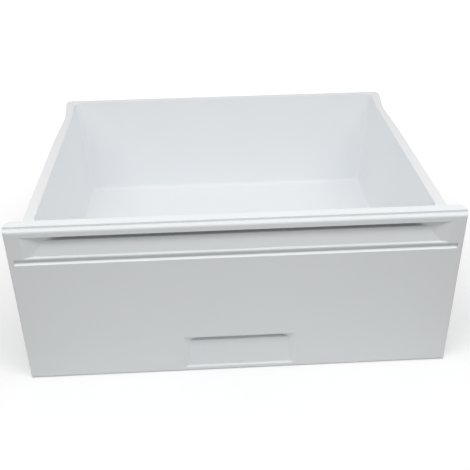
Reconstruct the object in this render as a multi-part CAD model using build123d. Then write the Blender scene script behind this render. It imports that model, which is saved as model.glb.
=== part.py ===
"""Fridge drawer: a moulded bin with a moulded front panel hooked over its front wall.

Millimetres, +Z up. The origin is on the floor under the middle of the drawer, and the
front panel faces -Y. The bin has a deep well at the front and a raised shelf at the
rear, which clears the compressor housing at the foot of the cabinet.
"""

import os
from math import radians, tan

from build123d import *

# Overall sizes
PANEL_WIDTH = 464.0
DRAWER_DEPTH = 347.0
DRAWER_HEIGHT = 193.0
BACK_RISE = 3.0

# Fit between the two mouldings
CLEARANCE = 0.2

# Front panel walls
PANEL_WALL = 3.0
PANEL_EDGE_R = 3.0
BAND_HEIGHT = 1.4
LEDGE_DROP = 1.4
BAND_SETBACK = 5.0
BAND_CORNER_R = 8.0
HOOK_THICKNESS = 2.0
HOOK_DROP = 9.0

# Long finger pull under the panel's top lip
LIP_HEIGHT = 9.0
LIP_THICKNESS = 3.0
FINGER_GAP = 7.2
PULL_HEIGHT = 24.4
PULL_LEDGE_DEPTH = 5.5
PULL_END_GAP = 16.0
PULL_END_RUN = 41.0

# Short finger pull at the panel's foot
FOOT_PULL_LOW_Z = 5.6
FOOT_PULL_HEIGHT = 41.6
FOOT_PULL_WIDTH = 121.0
FOOT_PULL_LEDGE_DEPTH = 4.0
FOOT_PULL_END_RUN = 13.0
FOOT_FINGER_GAP = 5.0
FOOT_PULL_UNDERCUT = 3.0

# Sill and slot that both pulls share
SILL_DEPTH = 2.2
SILL_RISE = 0.9
SILL_R = 0.8
SLOT_HEIGHT = 7.0
LEDGE_R = 0.8
PULL_WALL = 1.8

# Trim groove below the long pull
GROOVE_DROP = 1.4
GROOVE_WIDTH = 4.4
GROOVE_DEPTH = 2.6
GROOVE_SLOPE = 2.2
GROOVE_END_GAP = 6.0

# Stiffening ribs on the panel's back
RIB_THICKNESS = 1.6
RIB_SETBACK = 2.0
RIB_TOP_GAP = 14.0
RIB_PULL_GAP = 16.5
RIB_END_GAP = 14.0

# Snap catches between the panel and the bin's front wall
CATCH_WIDTH = 24.0
CATCH_Z = 100.0
CATCH_REACH = 4.2
NOSE_THICKNESS = 2.0
NOSE_HEIGHT = 2.4
ARM_THICKNESS = 2.2

# Bin walls
BIN_WALL = 2.0
DRAFT = 4.5
CORNER_R = 12.0
FLOOR_R = 8.0
SHELF_HEIGHT = 62.5
SHELF_DEPTH = 105.0
SHELF_EDGE_R = 2.5
WELL_SHOULDER = 3.0

# Bin rim
RIM_SIDE_GAP = 17.0
RIM_OVERHANG = 9.0
BACK_OVERHANG = 5.0
RIM_THICKNESS = 2.2
RIM_CORNER_R = 6.0
RIM_EDGE_R = 0.9
SKIRT_DROP = 7.0
SKIRT_THICKNESS = 1.8
WAIST_INSET = 2.5
WAIST_RUN = 75.0
LUG_FLARE = 4.0
LUG_LENGTH = 12.0
RAMP_RUN = 42.0
RAMP_R = 60.0

# Sliding skids under the bin
SKID_SIDE_GAP = 54.0
SKID_WIDTH = 8.0
SKID_HEIGHT = 2.0
SKID_END_GAP = 6.0

# Places worked out from the sizes above
LEAN = tan(radians(DRAFT))
FRONT_Y = -DRAWER_DEPTH / 2
REAR_Y = DRAWER_DEPTH / 2
RIM_Z = DRAWER_HEIGHT - BACK_RISE
LEDGE_Z = RIM_Z - LEDGE_DROP
LIP_Z = RIM_Z - LIP_HEIGHT
PULL_LOW_Z = LIP_Z - PULL_HEIGHT
PULL_LENGTH = PANEL_WIDTH - 2 * PULL_END_GAP
PULL_DEPTH = LIP_THICKNESS + FINGER_GAP
FOOT_PULL_DEPTH = LIP_THICKNESS + FOOT_FINGER_GAP
FOOT_PULL_HIGH_Z = FOOT_PULL_LOW_Z + FOOT_PULL_HEIGHT
INNER_RIB_X = FOOT_PULL_WIDTH / 2 + RIB_PULL_GAP
OUTER_RIB_X = PANEL_WIDTH / 2 - RIB_END_GAP
MIDDLE_RIB_X = (INNER_RIB_X + OUTER_RIB_X) / 2
PANEL_BACK_Y = FRONT_Y + PULL_DEPTH + PULL_WALL
WALL_FRONT_Y = PANEL_BACK_Y + CLEARANCE
HOOK_Y = WALL_FRONT_Y + BIN_WALL + CLEARANCE
BAND_FRONT_Y = FRONT_Y + BAND_SETBACK
BAND_BACK_Y = HOOK_Y + HOOK_THICKNESS
RIM_WIDTH = PANEL_WIDTH - 2 * RIM_SIDE_GAP
BIN_WIDTH = RIM_WIDTH - 2 * RIM_OVERHANG
SKID_X = BIN_WIDTH / 2 - SKID_SIDE_GAP
WALL_BACK_Y = REAR_Y - BACK_OVERHANG - BACK_RISE * LEAN
SHELF_FRONT_Y = WALL_BACK_Y - (RIM_Z - SHELF_HEIGHT) * LEAN - SHELF_DEPTH
RAMP_Y = REAR_Y - LUG_LENGTH - RAMP_RUN
CATCH_X = (INNER_RIB_X + MIDDLE_RIB_X) / 2
CATCH_Y = WALL_FRONT_Y - CATCH_REACH
FAR = DRAWER_DEPTH + PANEL_WIDTH


def side_view(points):
    """Closed outline of (y, z) points in the drawer's side view."""
    return Polygon(*points, align=None)


def across(outline, half_length):
    """Prism along X, centred on the drawer, from a side-view outline."""
    return extrude(Plane.YZ * outline, half_length, both=True)


def upright(outline, low_z, high_z):
    """Prism along Z between two heights, from a plan outline."""
    return extrude(Pos(0, 0, low_z) * outline, high_z - low_z)


def round_point(outline, point, radius):
    """Outline with its corner nearest to a point rounded off."""
    corner = outline.vertices().sort_by_distance((*point, 0))[0]
    return fillet(corner, radius)


def pull_sections(low_z, high_z, ledge_depth, depth, roof):
    """Side view of a finger pull: sill, sloped floor and a slot up behind its upper edge."""
    sill = (FRONT_Y, low_z)
    slot_z = high_z - SLOT_HEIGHT
    ledge = (FRONT_Y + ledge_depth, slot_z)
    outline = side_view(
        [
            (FRONT_Y - PANEL_WALL, low_z - SILL_DEPTH),
            (FRONT_Y, low_z - SILL_DEPTH),
            sill,
            (FRONT_Y + SILL_DEPTH, low_z + SILL_RISE),
            ledge,
            (FRONT_Y + depth, slot_z),
            *roof,
            (FRONT_Y + LIP_THICKNESS, high_z),
            (FRONT_Y - PANEL_WALL, high_z),
        ]
    )
    outline = round_point(outline, sill, SILL_R)
    return round_point(outline, ledge, LEDGE_R)


def pull_plan(length, end_run, depth):
    """Plan of a finger pull: its slanted ends close in towards the back."""
    return Polygon(
        (-length / 2, FRONT_Y - PANEL_WALL),
        (length / 2, FRONT_Y - PANEL_WALL),
        (length / 2, FRONT_Y),
        (length / 2 - end_run, FRONT_Y + depth),
        (end_run - length / 2, FRONT_Y + depth),
        (-length / 2, FRONT_Y),
        align=None,
    )


def finger_pull(sections, plan, wall):
    """Space of a finger pull, with the moulded wall of a given thickness round it."""
    space = across(sections, FAR) & upright(plan, 0, FAR)
    grown_sections = offset(sections, wall, kind=Kind.INTERSECTION)
    grown_plan = offset(plan, wall, kind=Kind.INTERSECTION)
    return space, across(grown_sections, FAR) & upright(grown_plan, 0, FAR)


def long_pull():
    """Long pull, with a slot that reaches up behind the lip to the panel's top."""
    roof = [
        (FRONT_Y + PULL_DEPTH, RIM_Z),
        (BAND_FRONT_Y + PULL_WALL, RIM_Z),
        (BAND_FRONT_Y + PULL_WALL, LEDGE_Z - PANEL_WALL),
        (FRONT_Y + LIP_THICKNESS, LEDGE_Z - PANEL_WALL),
    ]
    sections = pull_sections(PULL_LOW_Z, LIP_Z, PULL_LEDGE_DEPTH, PULL_DEPTH, roof)
    plan = pull_plan(PULL_LENGTH, PULL_END_RUN, PULL_DEPTH)
    return finger_pull(sections, plan, PULL_WALL)


def foot_pull():
    """Short pull at the middle of the panel's foot."""
    roof_z = FOOT_PULL_HIGH_Z + FOOT_PULL_UNDERCUT
    roof = [(FRONT_Y + FOOT_PULL_DEPTH, roof_z), (FRONT_Y + LIP_THICKNESS, roof_z)]
    sections = pull_sections(
        FOOT_PULL_LOW_Z, FOOT_PULL_HIGH_Z, FOOT_PULL_LEDGE_DEPTH, FOOT_PULL_DEPTH, roof
    )
    plan = pull_plan(FOOT_PULL_WIDTH, FOOT_PULL_END_RUN, FOOT_PULL_DEPTH)
    return finger_pull(sections, plan, PULL_WALL)


def panel_block():
    """Outer body of the panel, with its front edges rounded."""
    plan = Pos(0, (FRONT_Y + PANEL_BACK_Y) / 2) * Rectangle(PANEL_WIDTH, PANEL_BACK_Y - FRONT_Y)
    block = upright(plan, 0, LEDGE_Z)
    front_edges = block.faces().sort_by(Axis.Y)[0].edges()
    return fillet(front_edges, PANEL_EDGE_R)


def panel_hollow():
    """Space behind the panel's front, open to the back."""
    ceiling_y = BAND_FRONT_Y + PULL_WALL
    sections = side_view(
        [
            (FRONT_Y + PANEL_WALL, PANEL_WALL),
            (FAR, PANEL_WALL),
            (FAR, RIM_Z),
            (ceiling_y, RIM_Z),
            (ceiling_y, LEDGE_Z - PANEL_WALL),
            (FRONT_Y + PANEL_WALL, LEDGE_Z - PANEL_WALL),
        ]
    )
    return across(sections, PANEL_WIDTH / 2 - PANEL_WALL)


def panel_band():
    """Raised band along the panel's top that rests on the bin's front wall."""
    length = BAND_BACK_Y - BAND_FRONT_Y
    plan = Pos(0, BAND_FRONT_Y + length / 2) * Rectangle(PANEL_WIDTH, length)
    rear_corners = plan.vertices().group_by(Axis.Y)[-1]
    band = upright(fillet(rear_corners, BAND_CORNER_R), RIM_Z, RIM_Z + BAND_HEIGHT)
    band = fillet(band.faces().sort_by(Axis.Z)[-1].edges(), RIM_EDGE_R)
    depth = PANEL_BACK_Y - BAND_FRONT_Y
    riser = Pos(0, BAND_FRONT_Y + depth / 2) * Rectangle(PANEL_WIDTH, depth)
    return band + upright(riser, LEDGE_Z, RIM_Z)


def panel_hook():
    """Lip under the band's rear edge that hooks over the bin's front wall."""
    sections = side_view(
        [
            (HOOK_Y, RIM_Z),
            (HOOK_Y + HOOK_DROP * LEAN, RIM_Z - HOOK_DROP),
            (BAND_BACK_Y, RIM_Z - HOOK_DROP),
            (BAND_BACK_Y, RIM_Z),
        ]
    )
    return across(sections, BIN_WIDTH / 2 - CORNER_R - CLEARANCE)


def trim_groove():
    """Shadow groove under the long pull, with a sloped lower side, and the wall round it."""
    high_z = PULL_LOW_Z - GROOVE_DROP
    low_z = high_z - GROOVE_WIDTH
    sections = side_view(
        [
            (FRONT_Y - PANEL_WALL, high_z),
            (FRONT_Y + GROOVE_DEPTH, high_z),
            (FRONT_Y + GROOVE_DEPTH, low_z),
            (FRONT_Y, low_z - GROOVE_SLOPE),
            (FRONT_Y - PANEL_WALL, low_z - GROOVE_SLOPE),
        ]
    )
    half_length = PANEL_WIDTH / 2 - GROOVE_END_GAP
    grown_sections = offset(sections, PULL_WALL, kind=Kind.INTERSECTION)
    return across(sections, half_length), across(grown_sections, half_length)


def panel_ribs():
    """Upright stiffening ribs on the back of the panel's front."""
    front_y = FRONT_Y + PANEL_WALL / 2
    back_y = PANEL_BACK_Y - RIB_SETBACK
    ribs = []
    for x in (INNER_RIB_X, MIDDLE_RIB_X, OUTER_RIB_X):
        for side in (-1, 1):
            plan = Pos(side * x, (front_y + back_y) / 2) * Rectangle(RIB_THICKNESS, back_y - front_y)
            ribs.append(upright(plan, PANEL_WALL / 2, PULL_LOW_Z - RIB_TOP_GAP))
    return ribs


def at_catches(sections):
    """Both copies of a catch piece, from its side-view outline."""
    piece = across(sections, CATCH_WIDTH / 2)
    return [Pos(side * CATCH_X, 0, 0) * piece for side in (-1, 1)]


def panel_arms():
    """Snap arms of the panel, each with a nose that drops behind the bin's catch."""
    nose_y = CATCH_Y + NOSE_THICKNESS + CLEARANCE
    under_z = CATCH_Z + NOSE_HEIGHT + CLEARANCE
    sections = side_view(
        [
            (FRONT_Y + PANEL_WALL / 2, under_z),
            (nose_y, under_z),
            (nose_y, CATCH_Z + CLEARANCE),
            (nose_y + NOSE_THICKNESS, CATCH_Z + NOSE_HEIGHT / 2),
            (nose_y + NOSE_THICKNESS, under_z + ARM_THICKNESS),
            (FRONT_Y + PANEL_WALL / 2, under_z + ARM_THICKNESS),
        ]
    )
    return at_catches(sections)


def front_panel():
    """Moulded front panel with both finger pulls, the trim groove and its fixings."""
    long_space, long_walls = long_pull()
    foot_space, foot_walls = foot_pull()
    groove_space, groove_walls = trim_groove()
    block = panel_block()
    panel = block - panel_hollow()
    panel += block & (long_walls + foot_walls + groove_walls)
    panel += [panel_band(), panel_hook()]
    panel += panel_ribs() + panel_arms()
    return panel - [long_space, foot_space, groove_space]


def wall_block(back_y, low_z, high_z, inset, floor_r):
    """Drafted block of the bin: true plan at rim height, drawn in by inset all round."""
    front_y = WALL_FRONT_Y + inset
    length = back_y - inset - front_y
    outline = Pos(0, front_y + length / 2) * Rectangle(BIN_WIDTH - 2 * inset, length)
    block = upright(outline, low_z, high_z)
    sides = block.faces().filter_by(Axis.Z, reverse=True)
    block = draft(sides, Plane.XY.offset(RIM_Z), -DRAFT)
    corners = block.edges().filter_by(Plane.XY, reverse=True)
    block = fillet(corners, CORNER_R - inset)
    return fillet(block.faces().sort_by(Axis.Z)[0].edges(), floor_r)


def bin_block(inset, top_z):
    """Bin's outer body, or its hollow when drawn in by the wall thickness."""
    floor_r = FLOOR_R - inset
    upper = wall_block(WALL_BACK_Y, SHELF_HEIGHT - BIN_WALL + inset, top_z, inset, floor_r)
    well_back_y = SHELF_FRONT_Y + (RIM_Z - SHELF_HEIGHT) * LEAN + WELL_SHOULDER
    well = wall_block(well_back_y, SKID_HEIGHT + inset, RIM_Z, inset + WELL_SHOULDER, floor_r)
    block = upper + well
    return fillet(new_edges(upper, well, combined=block), SHELF_EDGE_R)


def under_rim(drop):
    """Side view of all that lies under the rim line, lowered by drop."""
    ramp_foot = (RAMP_Y, RIM_Z - drop)
    ramp_head = (RAMP_Y + RAMP_RUN, DRAWER_HEIGHT - drop)
    outline = side_view(
        [
            (-FAR, 0),
            (-FAR, RIM_Z - drop),
            ramp_foot,
            ramp_head,
            (FAR, DRAWER_HEIGHT - drop),
            (FAR, 0),
        ]
    )
    outline = round_point(outline, ramp_foot, RAMP_R)
    return round_point(outline, ramp_head, RAMP_R)


def rim_plan(inset):
    """Plan of the rim's outer edge, drawn in by inset: a waist, then a flared rear lug."""
    half_width = RIM_WIDTH / 2 - inset
    waist_half_width = half_width - WAIST_INSET
    right_side = [
        (half_width, WALL_FRONT_Y),
        (half_width, RAMP_Y - WAIST_RUN),
        (waist_half_width, RAMP_Y),
        (waist_half_width + LUG_FLARE, RAMP_Y + RAMP_RUN),
        (waist_half_width + LUG_FLARE, REAR_Y - inset),
    ]
    left_side = [(-x, y) for x, y in reversed(right_side)]
    plan = Polygon(*right_side, *left_side, align=None)
    bends = plan.vertices().group_by(Axis.Y)[1:-1]
    plan = fillet([point for row in bends for point in row], RAMP_R)
    rear_corners = plan.vertices().group_by(Axis.Y)[-1]
    return fillet(rear_corners, RIM_CORNER_R - inset)


def bin_rim():
    """Outward rim that climbs to the back, with a skirt along its outer edge."""
    sections = across(under_rim(0), FAR)
    column = upright(rim_plan(0), 0, FAR)
    block = sections & column
    outer_edges = new_edges(sections, column, combined=block)
    block = fillet(outer_edges, RIM_EDGE_R)
    inside = across(under_rim(RIM_THICKNESS), FAR) & upright(rim_plan(SKIRT_THICKNESS), 0, FAR)
    return block - inside - across(under_rim(SKIRT_DROP), FAR)


def bin_skids():
    """Pair of skids that carry the drawer on the cabinet floor."""
    end_gap = (RIM_Z - SKID_HEIGHT) * LEAN + FLOOR_R + SKID_END_GAP
    front_y = WALL_FRONT_Y + WELL_SHOULDER + end_gap
    back_y = SHELF_FRONT_Y + (RIM_Z - SHELF_HEIGHT) * LEAN - end_gap
    outline = SlotOverall(back_y - front_y, SKID_WIDTH, rotation=90)
    middle_y = (front_y + back_y) / 2
    return [
        upright(Pos(side * SKID_X, middle_y) * outline, 0, SKID_HEIGHT + BIN_WALL / 2)
        for side in (-1, 1)
    ]


def bin_catches():
    """Catches on the bin's front wall that hold the panel's snap arms."""
    wall_y = WALL_FRONT_Y + (RIM_Z - CATCH_Z) * LEAN + BIN_WALL / 2
    sections = side_view(
        [
            (CATCH_Y, CATCH_Z - ARM_THICKNESS),
            (wall_y, CATCH_Z - ARM_THICKNESS),
            (wall_y, CATCH_Z),
            (CATCH_Y + NOSE_THICKNESS, CATCH_Z),
            (CATCH_Y + NOSE_THICKNESS, CATCH_Z + NOSE_HEIGHT),
            (CATCH_Y, CATCH_Z + NOSE_HEIGHT / 2),
        ]
    )
    return at_catches(sections)


def drawer_bin():
    """Moulded bin: drafted walls, front well, rear shelf, rim, skids and catches."""
    walls = bin_block(0, DRAWER_HEIGHT) & across(under_rim(0), FAR)
    body = walls + [bin_rim()] + bin_skids() + bin_catches()
    hollow = bin_block(BIN_WALL, DRAWER_HEIGHT + RIM_OVERHANG)
    moulding = body - hollow
    return fillet(new_edges(body, hollow, combined=moulding), RIM_EDGE_R)


os.makedirs("parts", exist_ok=True)
export_step(drawer_bin(), "parts/drawer_bin.step")
export_step(front_panel(), "parts/front_panel.step")
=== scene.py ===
"""Looks of the fridge drawer: two white mouldings on a pale floor under soft studio light."""

from math import radians

import bpy
from mathutils import Matrix, Vector

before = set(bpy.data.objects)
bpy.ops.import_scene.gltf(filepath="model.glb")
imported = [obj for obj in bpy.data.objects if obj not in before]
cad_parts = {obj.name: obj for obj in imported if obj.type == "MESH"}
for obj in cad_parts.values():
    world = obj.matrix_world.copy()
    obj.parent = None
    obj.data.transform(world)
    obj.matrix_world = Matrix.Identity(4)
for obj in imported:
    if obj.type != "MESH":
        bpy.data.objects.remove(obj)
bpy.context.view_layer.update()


# Drawer bin
# One white moulding, taken as polystyrene: drafted walls, stepped floor and the rim it hangs by.
# The mould leaves a fine even grain and a low sheen, with faint cloudy flow in the colour.
# The rim's top is coloured a little grey, which is painted shade. The rim is shown a little
# greyed, as sliding in a cabinet may leave it, which is a guess.
def added(tree, kind, fed=None, fixed=None, **settings):
    """One more node in a tree: its settings, its fixed inputs, and what feeds its other inputs."""
    node = tree.nodes.new("ShaderNode" + kind)
    for setting, value in settings.items():
        setattr(node, setting, value)
    for socket, value in (fixed or {}).items():
        node.inputs[socket].default_value = value
    for socket, source in (fed or {}).items():
        tree.links.new(source, node.inputs[socket])
    return node


def ranged(tree, measure, start, end, low=0.0, high=1.0, ease="SMOOTHSTEP"):
    """A measure carried from start..end to low..high, with soft ends unless ease is LINEAR."""
    limits = {"From Min": start, "From Max": end, "To Min": low, "To Max": high}
    return added(tree, "MapRange", {"Value": measure}, limits,
                 interpolation_type=ease).outputs["Result"]


def joined(tree, operation, one, other):
    """Two values made one: MAXIMUM of two masks is where either lies, MULTIPLY where both lie."""
    return added(tree, "Math", {0: one, 1: other}, operation=operation).outputs["Value"]


def unsigned(tree, measure):
    """A measure without its sign, so that left and right count alike."""
    return added(tree, "Math", {0: measure}, operation="ABSOLUTE").outputs["Value"]


def moulded_plastic(name, tints, sheens, flow_scale, grain_scale, grain_relief):
    """White plastic whose tint and sheen drift with a cloudy noise, under a fine grain.

    Gives the material, the x, y and z of a place on it, and its tint, still to be coloured in.
    """
    plastic = bpy.data.materials.new(name)
    plastic.use_nodes = True
    tree = plastic.node_tree
    shader = tree.nodes["Principled BSDF"]
    place = added(tree, "TexCoord").outputs["Object"]
    axes = added(tree, "SeparateXYZ", {"Vector": place}).outputs
    flow = added(tree, "TexNoise", {"Vector": place},
                 {"Scale": flow_scale, "Detail": 3.0}).outputs["Fac"]
    tint = added(tree, "ValToRGB", {"Fac": flow})
    for stop, position, colour in zip(tint.color_ramp.elements, (0.3, 0.7), tints):
        stop.position = position
        stop.color = (*colour, 1)
    sheen = ranged(tree, flow, 0.0, 1.0, *sheens, ease="LINEAR")
    tree.links.new(sheen, shader.inputs["Roughness"])
    grain = added(tree, "TexNoise", {"Vector": place}, {"Scale": grain_scale, "Detail": 2.0})
    relief = added(tree, "Bump", {"Height": grain.outputs["Fac"]},
                   {"Strength": grain_relief, "Distance": 0.0002})
    tree.links.new(relief.outputs["Normal"], shader.inputs["Normal"])
    return plastic, axes, tint.outputs["Color"]


def coloured(plastic, tint, patch_colour, patch):
    """Colours a plastic with its tint, and with another colour where the mask of a patch lies."""
    tree = plastic.node_tree
    mixed = added(tree, "Mix", {"Factor": patch, "A": tint}, data_type="RGBA")
    mixed.inputs["B"].default_value = (*patch_colour, 1)
    shader = tree.nodes["Principled BSDF"]
    tree.links.new(mixed.outputs["Result"], shader.inputs["Base Color"])


bin_plastic, axes, tint = moulded_plastic(
    "bin_plastic", tints=((0.895, 0.915, 0.93), (0.91, 0.93, 0.945)), sheens=(0.34, 0.46),
    flow_scale=9.0, grain_scale=900.0, grain_relief=0.05)
bin_plastic.node_tree.nodes["Principled BSDF"].inputs["Specular IOR Level"].default_value = 0.3
tree = bin_plastic.node_tree
side_rim_x = 0.2038
back_rim_y = 0.1663
rim_edge_fade = 0.0008
rim_foot_z = 0.1815
rim_shoulder_z = 0.183
# Grey of the painted shade on the rim's top
rim_shade_grey = (0.82, 0.835, 0.85)
side_rims = ranged(tree, unsigned(tree, axes["X"]), side_rim_x, side_rim_x + rim_edge_fade)
back_rim = ranged(tree, axes["Y"], back_rim_y, back_rim_y + rim_edge_fade)
rim_plan = joined(tree, "MAXIMUM", side_rims, back_rim)
rim_height = ranged(tree, axes["Z"], rim_foot_z, rim_shoulder_z)
# Painted shade: the rim's top takes the grey where its mask lies
coloured(bin_plastic, tint, rim_shade_grey, joined(tree, "MULTIPLY", rim_plan, rim_height))
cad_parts["drawer_bin"].material_slots[0].material = bin_plastic


# Front panel
# A second white moulding, hooked over the bin's front wall, with finger pulls and a trim groove.
# Its show face is smoother and glossier than the bin. Deep in the long pull's slot its colour is
# greyed, which is painted shade in the slot. Deep in the long pull's slot it is shown with a
# little dust, where a cloth wouldn't reach, which is a guess.
panel_plastic, axes, tint = moulded_plastic(
    "panel_plastic", tints=((0.84, 0.865, 0.88), (0.855, 0.88, 0.895)), sheens=(0.16, 0.24),
    flow_scale=7.0, grain_scale=500.0, grain_relief=0.04)
tree = panel_plastic.node_tree
slot_mouth_y = -0.1675
slot_deep_y = -0.1655
slot_end_y = -0.1623
slot_floor_z = 0.173
slot_roof_z = 0.1865
slot_fade = 0.0005
# Grey of the painted shade deep in the long pull's slot
slot_shade_grey = (0.62, 0.63, 0.65)
slot_front = ranged(tree, axes["Y"], slot_mouth_y, slot_deep_y)
slot_back = ranged(tree, axes["Y"], slot_end_y, slot_end_y - slot_fade)
slot_floor = ranged(tree, axes["Z"], slot_floor_z, slot_floor_z + slot_fade)
slot_roof = ranged(tree, axes["Z"], slot_roof_z, slot_roof_z - slot_fade)
slot_depth = joined(tree, "MULTIPLY", slot_front, slot_back)
slot_height = joined(tree, "MULTIPLY", slot_floor, slot_roof)
# Painted shade: the inside of the slot takes the grey where its mask lies
coloured(panel_plastic, tint, slot_shade_grey, joined(tree, "MULTIPLY", slot_depth, slot_height))
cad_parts["front_panel"].material_slots[0].material = panel_plastic


# Floor
# A large sheet of white paper under the drawer, which keeps its soft shadow. It looks white to
# the camera and in reflections, and the paper near the drawer throws some light back up on it.
def seen_directly(tree):
    """A mask of the rays that see a surface straight or in a reflection, and don't light by it."""
    ray = added(tree, "LightPath").outputs
    return joined(tree, "MAXIMUM", ray["Is Camera Ray"], ray["Is Glossy Ray"])


floor_size = 12.0
bpy.ops.mesh.primitive_plane_add(size=floor_size, location=(0, 0, 0))
floor = bpy.context.object
floor.name = "floor"
paper = bpy.data.materials.new("paper")
paper.use_nodes = True
tree = paper.node_tree
shader = tree.nodes["Principled BSDF"]
shader.inputs["Roughness"].default_value = 0.9
shader.inputs["Specular IOR Level"].default_value = 0.1
shader.inputs["Emission Color"].default_value = (1, 1, 1, 1)
seen = seen_directly(tree)
place = added(tree, "TexCoord").outputs["Object"]
panel_foot = (0, -0.2, 0)

# Light thrown back: most beside and behind the panel's foot, less far out in front and aside
side_falloff = 1.3
past_the_floor = 9
bounce_near, bounce_far = 0.2, 0.6
bounce_full, bounce_least = 0.72, 0.15
paper_white = (0.95, 0.95, 0.95, 1)
squeezed = added(tree, "VectorMath", {0: place}, {1: (side_falloff, 1, 1)}, operation="MULTIPLY")
in_front = added(tree, "VectorMath", {0: squeezed.outputs["Vector"]},
                 {1: (past_the_floor, panel_foot[1], past_the_floor)}, operation="MINIMUM")
reach = added(tree, "VectorMath", {0: in_front.outputs["Vector"]}, {1: panel_foot},
              operation="DISTANCE")
pool = ranged(tree, reach.outputs["Value"], bounce_near, bounce_far, bounce_full, bounce_least)
pale = added(tree, "Mix", {"Factor": seen, "A": pool}, {"B": paper_white}, data_type="RGBA")
tree.links.new(pale.outputs["Result"], shader.inputs["Base Color"])

# White to the eye: a small glow that grows with the distance from the drawer
glow_near, glow_far = 0.3, 1.0
glow_least, glow_full = 0.12, 0.5
away = added(tree, "VectorMath", {0: place}, {1: panel_foot}, operation="DISTANCE")
lift = ranged(tree, away.outputs["Value"], glow_near, glow_far, glow_least, glow_full, "LINEAR")
tree.links.new(joined(tree, "MULTIPLY", seen, lift), shader.inputs["Emission Strength"])
floor.data.materials.append(paper)


# Studio light
# A white tent, brighter overhead, at the sides and behind than in front, and one long soft lamp
# hung in front of the drawer. The camera and reflections see the tent as plain white.
tent_low, tent_top = 0.18, 0.7
wall_start, wall_full = 0.45, 0.9
wall_extra = 0.3
tent_white = 1.0
world = bpy.data.worlds.new("tent")
bpy.context.scene.world = world
world.use_nodes = True
tree = world.node_tree
cloth = tree.nodes["Background"]
cloth.inputs["Color"].default_value = (1, 1, 1, 1)
aim = added(tree, "TexCoord").outputs["Generated"]
axes = added(tree, "SeparateXYZ", {"Vector": aim}).outputs
roof = ranged(tree, axes["Z"], 0.0, 1.0, tent_low, tent_top, "LINEAR")
aside = joined(tree, "MAXIMUM", unsigned(tree, axes["X"]), axes["Y"])
walls = ranged(tree, aside, wall_start, wall_full, 0.0, wall_extra)
light = joined(tree, "ADD", roof, walls)
level = added(tree, "Mix", {"Factor": seen_directly(tree), "A": light}, {"B": tent_white})
tree.links.new(level.outputs["Result"], cloth.inputs["Strength"])
key = bpy.data.lights.new("key", "AREA")
key.shape = "RECTANGLE"
key.size = 1.7
key.size_y = 0.3
key.energy = 5.3
lamp = bpy.data.objects.new("key", key)
lamp.location = (0, -0.52, 1.0)
lamp.rotation_euler = (radians(23), 0, 0)
lamp.visible_camera = False
bpy.context.scene.collection.objects.link(lamp)


# Camera
# Where the photographer stood: just left of the middle, above the drawer and looking down into it.
# The focal length, the place and the three turns come from a fit to the drawer's own lines.
focal_pixels = 723.55
frame_pixels = 470
stand_point = (-0.03123, -0.79177, 0.54742)
turn_degrees = -2.598
look_down_degrees = 31.031
roll_degrees = -0.915
lens = bpy.data.cameras.new("camera")
lens.sensor_width = 36.0
lens.lens = focal_pixels / frame_pixels * lens.sensor_width
camera = bpy.data.objects.new("camera", lens)
stand = Matrix.Translation(Vector(stand_point))
turn = Matrix.Rotation(radians(turn_degrees), 4, "Z")
tilt = Matrix.Rotation(radians(90 - look_down_degrees), 4, "X")
roll = Matrix.Rotation(radians(roll_degrees), 4, "Z")
camera.matrix_world = stand @ turn @ tilt @ roll
bpy.context.scene.collection.objects.link(camera)
bpy.context.scene.camera = camera
bpy.context.scene.view_settings.view_transform = "Standard"
